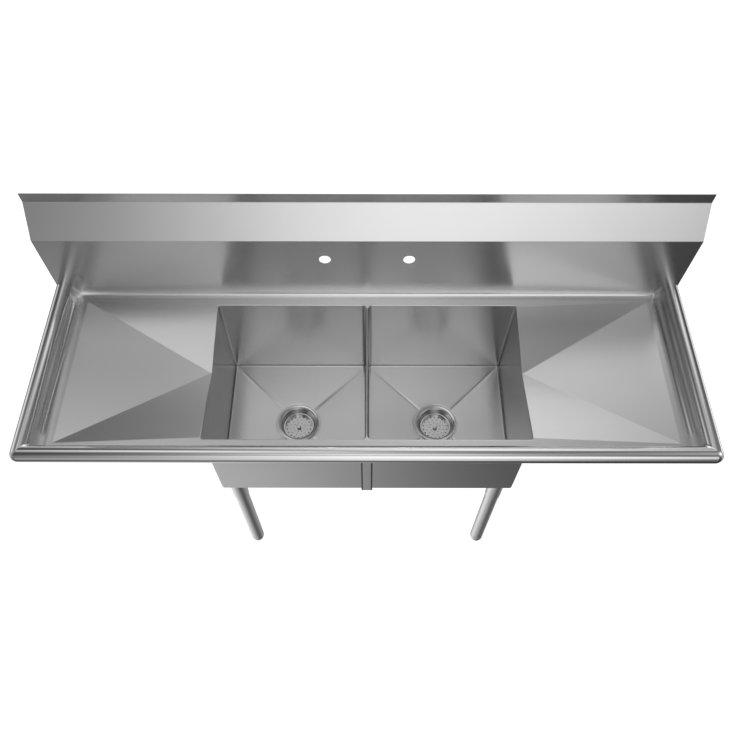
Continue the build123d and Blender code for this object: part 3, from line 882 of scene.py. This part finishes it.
def locknut_skin(x, node):
    """Ring whose outer radius swells into six lugs: R(a) = r + h s(a), with s a smooth
    bump round each lug's own direction."""
    low, high = node_box(node)
    lugs = 6
    body = 52 * mm
    reach = 2.95 * mm
    bore = clamp_radius + 0.15 * mm
    a = np.linspace(0, 2 * np.pi, 193)[None, :]
    off = np.abs(np.mod(a * lugs / (2 * np.pi) + 0.5, 1) - 0.5) * 2 * np.pi / lugs * body
    lug = 1 - rise(off, 3.6 * mm, 4.8 * mm)
    top = high[2]
    lug_top = high[2] - 2 * mm
    bottom = low[2]
    shape = [
        (bore, bottom + 0.6 * mm, 0), (bore + 0.6 * mm, bottom, 0), (body - 0.6 * mm, bottom, 0.8),
        (body, bottom + 0.6 * mm, 1), (body, lug_top - 0.5 * mm, 1), (body - 0.5 * mm, lug_top, 0.9),
        (body - 0.5 * mm, lug_top, 0), (body - 0.3 * mm, top - 0.6 * mm, 0), (body - 0.9 * mm, top, 0),
        (bore + 0.6 * mm, top, 0), (bore, top - 0.6 * mm, 0), (bore, bottom + 0.6 * mm, 0),
    ]
    radius, height, share = np.array(shape).T[:, :, None]
    r = radius + reach * lug * share
    return [surface(x + r * np.cos(a), drain_y + r * np.sin(a), height)]


for side, x in (("left", -drain_x), ("right", drain_x)):
    knob_body = f"{side}_stopper_knob"
    for name, skins, finish, body, node in (
        ("strainer_flange", strainer_body(x), "drain_steel", "sink", "strainer_body"),
        ("basket_cup_sheet", basket_skin(x), "drain_steel", f"{side}_basket_cup", "basket"),
        ("lift_knob", knob_skin(x), "drain_steel", knob_body, "knob_post"),
        ("stopper_disc", stopper_skin(x), "black_rubber", knob_body, "stopper"),
        ("clamp_nut", locknut_skin(x, f"{side}_locknut"), "nut_metal", "sink", "locknut"),
        ("rubber_washer_ring", washer_skin(x, f"{side}_rubber_washer"), "black_rubber", "sink",
         "rubber_washer"),
        ("friction_washer_ring", washer_skin(x, f"{side}_friction_washer"), "washer_fibre",
         "sink", "friction_washer"),
    ):
        wall = basket_wall if node == "basket" else 0
        piece(f"{side}_{name}", skins, finish, body, [f"{side}_{node}"], wall=wall,
              solid=not wall)


# Legs: welded socket, tube, nylon plug, threaded stem and bullet foot

leg_bottom_z = 42 * mm
leg_top_z = 480 * mm
leg_radius = 19.05 * mm
leg_wall = 1.5 * mm
socket_radius = 20.85 * mm
socket_bore = 19.35 * mm
socket_bottom_z = 378 * mm
gusset_bottom_z = 486.5 * mm
gusset_half = 26 * mm
gusset_corner = 5 * mm
plug_top_z = 72 * mm
stem_radius = 9.525 * mm
stem_bore = stem_radius + 0.08 * mm
stem_pitch = 2.54 * mm
stem_thread_depth = 1.2 * mm
stem_bottom_z = 12.2 * mm
stem_thread_low_z = 38 * mm
stem_thread_high_z = 86 * mm
stem_top_z = 88 * mm
foot_bore_z = 12 * mm
foot_top_z = 41.5 * mm
foot_collar_z = 20 * mm
foot_flat_top_z = 15 * mm
foot_flat_reach = 14.6 * mm * math.cos(math.radians(30))


def rounded_square(half, corner, steps=8):
    """Closed plan of a square with arc corners; corner equal to half makes a circle."""
    turn = quarter_turn(steps + 1)
    loops = []
    for start in (0, 90, 180, 270):
        facing = np.column_stack([np.cos(turn + math.radians(start)),
                                  np.sin(turn + math.radians(start))])
        loops.append((half - corner) * np.sign(facing[steps // 2]) + corner * facing)
    return np.concatenate(loops + [loops[0][:1]])


def under_floor(plan):
    """Height of the floor's underside over a plan, the same on both sides of the middle."""
    return floor_height(np.stack([np.abs(plan[..., 0]), plan[..., 1]], axis=-1)) - sheet


def socket_skin(x, y):
    """Rows over the gusset's lid, which follows the floor, down to the socket and up its
    bore; each row is a rounded square or a circle, and the step between them is a weld's
    hollow curve."""
    place = np.array([x, y])
    square = place + rounded_square(gusset_half, gusset_corner)
    chamfer = 0.8 * mm
    low_square = place + rounded_square(gusset_half - chamfer, gusset_corner)
    lid = place + np.reshape([0, 0.33, 0.67, 1], (-1, 1, 1)) * (square - place)
    weld = 3 * mm
    turn = quarter_turn(6)
    circles = [
        *zip(socket_radius + weld * (1 - np.sin(turn)), gusset_bottom_z - weld * (1 - np.cos(turn))),
        (socket_radius, socket_bottom_z + 0.5 * mm),
        (socket_radius - 0.4 * mm, socket_bottom_z),
        (socket_bore, socket_bottom_z + 0.2 * mm),
        (socket_bore, leg_top_z + 2 * mm),
        (0.0, leg_top_z + 2 * mm),
    ]
    rows = [*at_height(lid, under_floor(lid)), at_height(square, gusset_bottom_z + chamfer),
            at_height(low_square, gusset_bottom_z)]
    rows += [at_height(place + rounded_square(r, r), z) for r, z in circles]
    return [np.stack(rows)]


def tube_skin(x, y):
    """Turned tube with its cut ends slightly rounded."""
    inner = leg_radius - leg_wall
    start = (leg_radius, 200 * mm)
    loop = [start, (leg_radius, leg_top_z), (inner, leg_top_z), (inner, leg_bottom_z),
            (leg_radius, leg_bottom_z), start]
    return [turned(rounded(loop, 0.4 * mm, 3), x, y, 72)]


def plug_skin(x, y):
    """Turned plug in the tube's end, with a chamfered mouth."""
    outer = leg_radius - leg_wall - 0.02 * mm
    bottom = leg_bottom_z + 0.1 * mm
    start = (outer, 60 * mm)
    loop = [start, (outer, plug_top_z), (stem_bore, plug_top_z),
            (stem_bore, leg_bottom_z + 1 * mm), (stem_bore + 1.2 * mm, bottom), (outer, bottom),
            start]
    return [turned(rounded(loop, 0.4 * mm, 3), x, y, 72)]


def stem_skin(x, y):
    """Threaded rod with a plain end inside the foot and a chamfered top."""
    thread = threaded(stem_radius, stem_thread_depth, stem_pitch, stem_thread_low_z,
                      stem_thread_high_z, x, y)
    root = stem_radius - 0.5 * stem_thread_depth
    below = turned([(0, stem_bottom_z), (root, stem_bottom_z), (root, stem_thread_low_z)],
                   x, y, 48)
    above = turned([(root, stem_thread_high_z), (stem_radius - 1.5 * mm, stem_top_z),
                    (0, stem_top_z)], x, y, 48)
    return [below, thread, above]


def foot_skin(x, y):
    """Turned bullet whose foot is cut by six flats: the radius is the smaller of the
    turned one and the flat's own, d / cos(a), where a is measured from the flat's middle."""
    outer_bends = 6
    bend_steps = 4
    line = rounded([
        (0, 0.0), (12.2 * mm, 0.0), (14.0 * mm, 1.6 * mm), (15.2 * mm, 3.5 * mm),
        (leg_radius - 0.5 * mm, foot_collar_z - 1.2 * mm), (leg_radius, foot_collar_z + 0.4 * mm),
        (leg_radius, foot_top_z), (stem_bore, foot_top_z), (stem_bore, foot_bore_z),
        (0, foot_bore_z),
    ], [1 * mm, 1 * mm, 1 * mm, 1 * mm, 1 * mm, 1.2 * mm, 0.4 * mm, 0.4 * mm], bend_steps)
    outer = np.arange(len(line)) < 1 + outer_bends * (bend_steps + 1)
    extra = np.linspace(4 * mm, foot_collar_z - 2 * mm, 12)
    low_part = line[outer]
    rows_z = np.unique(np.concatenate([low_part[:, 1], extra]))
    rows_r = np.interp(rows_z, low_part[:, 1], low_part[:, 0])
    a = np.linspace(0, 2 * np.pi, 97)[None, :]
    from_flat = np.mod(a + np.pi / 6, np.pi / 3) - np.pi / 6
    flat = foot_flat_reach / np.cos(from_flat)
    above = rise(rows_z[:, None], foot_flat_top_z - 0.5 * mm, foot_flat_top_z + 1.5 * mm)
    r = rows_r[:, None]
    r = np.minimum(r, flat + above * 10 * mm)
    skin = surface(x + r * np.cos(a), y + r * np.sin(a), rows_z[:, None])
    base = np.concatenate([skin[:1] * (0, 0, 1) + (x, y, 0), skin[:1]])
    inner = np.concatenate([skin[-1:], turned(line[~outer], x, y, 96)])
    return [base, skin, inner]


for place in ("front_left", "front_right", "rear_left", "rear_right"):
    leg_low, leg_high = node_box(f"{place}_leg")
    x, y = (leg_low[:2] + leg_high[:2]) / 2
    for name, skin, finish, body, node in (
        ("welded_socket", socket_skin, "leg_steel", "sink", "leg_socket"),
        ("tube", tube_skin, "leg_steel", "sink", "leg"),
        ("plug", plug_skin, "insert_plastic", "sink", "leg_insert"),
        ("screw_stem", stem_skin, "leg_steel", f"{place}_stem", "foot_stem"),
        ("bullet", foot_skin, "leg_steel", f"{place}_bullet_foot", "foot"),
    ):
        piece(f"{place}_{name}", skin(x, y), finish, body, [f"{place}_{node}"], solid=True)


# Floor, light and camera

def stage_piece(name, skin, material):
    """A surface of the studio that isn't part of the sink."""
    mesh = gridded(name, [skin])
    mesh.materials.append(material)
    shape = linked(name, mesh)
    return shape


# White paper that glows, so that it stays white, and takes faint soft shadows
floor_ends = np.array([[-12.0, 12.0]])
paper, tree, output = new_material("white_paper_floor")
glow = add(tree, "Emission", {"Color": (1, 1, 1, 1), "Strength": 0.9})
matte = add(tree, "BsdfDiffuse", {"Color": (0.5, 0.5, 0.5, 1)})
both = add(tree, "AddShader", {0: glow.outputs[0], 1: matte.outputs[0]})
tree.links.new(both.outputs[0], output.inputs["Surface"])
floor = stage_piece("studio_floor", surface(floor_ends, floor_ends.T, 0.0), paper)
floor.visible_glossy = False

# White paper all round, which only low views see: the steel and the floor look past it to
# the soft lights
paper, tree, output = new_material("white_paper_backdrop")
glow = add(tree, "Emission", {"Color": (1, 1, 1, 1), "Strength": 1.0})
tree.links.new(glow.outputs[0], output.inputs["Surface"])
backdrop_radius = 11.5
backdrop_height = 14.0
backdrop_line = [(backdrop_radius, 0.0), (backdrop_radius, backdrop_height)]
backdrop = stage_piece("studio_backdrop", turned(backdrop_line, 0.0, 0.0), paper)
backdrop.visible_glossy = False
backdrop.visible_diffuse = False
backdrop.visible_transmission = False
backdrop.visible_shadow = False

# Large soft lights round the sink: degrees to the right of the front, degrees above the
# level, strength at the middle, and how tight the light is
soft_lights = [
    ("front_low_bank", 3, -12, 1.0, 20),
    ("front_left_panel", -25, -5, 0.4, 20),
    ("front_level_bank", 0, 8, 0.7, 30),
    ("front_right_panel", 22, 22, 1.2, 30),
    ("front_high_bank", 0, 33, 1.5, 20),
    ("front_top_strip", 0, 66, 1.1, 50),
    ("front_top_bank", 0, 72, 0.3, 20),
    ("left_top_panel", -130, 80, 1.2, 45),
    ("left_back_panel", -131, 64, 1.0, 60),
    ("left_wall_bank", -97, 18, 0.5, 20),
    ("left_edge_strip", -118, 8, 1.1, 30),
    ("left_high_bank", -100, 40, 0.4, 20),
    ("left_front_bank", -55, 15, 0.3, 20),
    ("right_high_bank", 85, 33, 2.0, 20),
    ("right_top_bank", 80, 57, 0.5, 20),
    ("right_edge_strip", 117, -8, 1.6, 35),
    ("back_bank", 170, 35, 1.1, 20),
    ("back_middle_panel", 170, 56, 1.0, 45),
    ("back_right_panel", 148, 48, 0.5, 60),
    ("back_low_bank", 180, 8, 3.6, 20),
    ("left_side_bank", -90, -14, 0.8, 12),
    ("right_side_bank", 90, -14, 0.8, 12),
    ("floor_front", -20, -62, 0.5, 30),
    ("floor_left", -88, -60, 1.6, 14),
    ("floor_right", 145, -50, 0.5, 10),
    ("floor_right_middle", 100, -58, 0.3, 14),
]


def soft_light_world():
    """World whose light is a sum of soft spots, each strength * exp(tight (cos angle - 1))
    with the angle measured from the middle of the spot."""
    world = bpy.data.worlds.new("studio")
    world.use_nodes = True
    tree = world.node_tree
    tree.nodes.clear()
    ray = add(tree, "TexCoord").outputs["Generated"]
    everywhere = 0.02
    total = everywhere
    for name, azimuth, elevation, strength, tight in soft_lights:
        turn, lift = math.radians(azimuth), math.radians(elevation)
        aim = (math.sin(turn) * math.cos(lift), -math.cos(turn) * math.cos(lift), math.sin(lift))
        cosine = add(tree, "VectorMath", {0: ray, 1: aim}, operation="DOT_PRODUCT", label=name)
        falloff = add(tree, "Math", {0: cosine.outputs["Value"], 1: tight, 2: -tight},
                      operation="MULTIPLY_ADD")
        spot = add(tree, "Math", {0: falloff.outputs[0]}, operation="EXPONENT")
        total = add(tree, "Math", {0: spot.outputs[0], 1: strength, 2: total},
                    operation="MULTIPLY_ADD").outputs[0]
    light = add(tree, "Background", {"Strength": total})
    output = add(tree, "OutputWorld")
    tree.links.new(light.outputs[0], output.inputs["Surface"])
    return world


bpy.context.scene.world = soft_light_world()

# The photograph's camera: 58.63 degrees down, with a focal length of 724 px in 736 px
camera_data = bpy.data.cameras.new("camera")
camera_data.sensor_width = 36
camera_data.lens = 724 / 736 * camera_data.sensor_width
camera_data.clip_start = 0.01
camera = linked("camera", camera_data)
camera.location = (0.0043, -0.9136, 2.2837)
camera.rotation_euler = (math.radians(90 - 58.63), 0, math.radians(0.1))
bpy.context.scene.camera = camera
bpy.context.scene.view_settings.view_transform = "Standard"

# The solids that no new piece replaces keep their shape and get a finish of their slot
for node in frame["nodes"].values():
    if not node.hide_render:
        slot = next(s["material_slot"] for s in frame["record"]["subparts"]
                    if s["node"] == node.name)
        node.data.materials.clear()
        node.data.materials.append(materials[slot])
